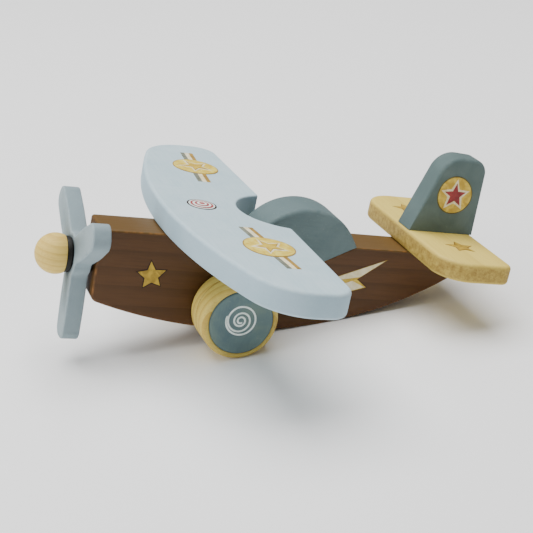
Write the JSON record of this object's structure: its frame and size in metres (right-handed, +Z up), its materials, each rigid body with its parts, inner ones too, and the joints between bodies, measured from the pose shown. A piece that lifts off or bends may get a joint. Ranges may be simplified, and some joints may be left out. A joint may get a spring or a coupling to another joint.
{
  "type": "toy aeroplane",
  "caption": "Wooden push-along toy aeroplane with a flat board wing, a turning propeller, a domed canopy and wheels on a turning axle.",
  "frame": {"origin": "on the table, under the middle of the plane's length and on its centre plane", "axes": "-X towards the nose, +Y to the plane's right side, +Z up; the plane rests nose-up on its wheels and belly"},
  "size_m": [0.28, 0.259, 0.096],
  "materials": {
    "stained_wood": "dark brown stain, satin",
    "sky_painted_wood": "brushed pale grey-blue paint, matt",
    "slate_painted_wood": "brushed slate grey paint, matt",
    "bare_wood": "bare pale wood, sanded",
    "black_fibre": "black, matt",
    "painted_mark": "hand-painted gold, cream and red marks"
  },
  "bodies": {
    "airframe": {"fuselage": "stained_wood", "wing": "sky_painted_wood", "wing_dowels": "bare_wood", "canopy": "slate_painted_wood", "canopy_dowel": "bare_wood", "tailplane": "bare_wood", "fin": "slate_painted_wood", "tail_dowels": "bare_wood", "nose_pin": "bare_wood", "rear_washer": "black_fibre", "front_spacer": "black_fibre", "nose_knob": "bare_wood"},
    "propeller": {"propeller": "sky_painted_wood"},
    "wheelset": {"axle": "bare_wood", "wheel_left": "bare_wood", "wheel_right": "bare_wood", "wheel_disc_left": "slate_painted_wood", "wheel_disc_right": "slate_painted_wood"}
  },
  "joints": [
    {"name": "propeller_spin", "type": "hinge", "parent": "airframe", "child": "propeller", "pos_m": [-0.11508, 0, 0.06404], "axis": [-0.9737, 0, 0.228], "continuous": true},
    {"name": "wheel_roll", "type": "hinge", "parent": "airframe", "child": "wheelset", "pos_m": [-0.03188, 0, 0.0233], "axis": [0, 1, 0], "continuous": true}
  ]
}
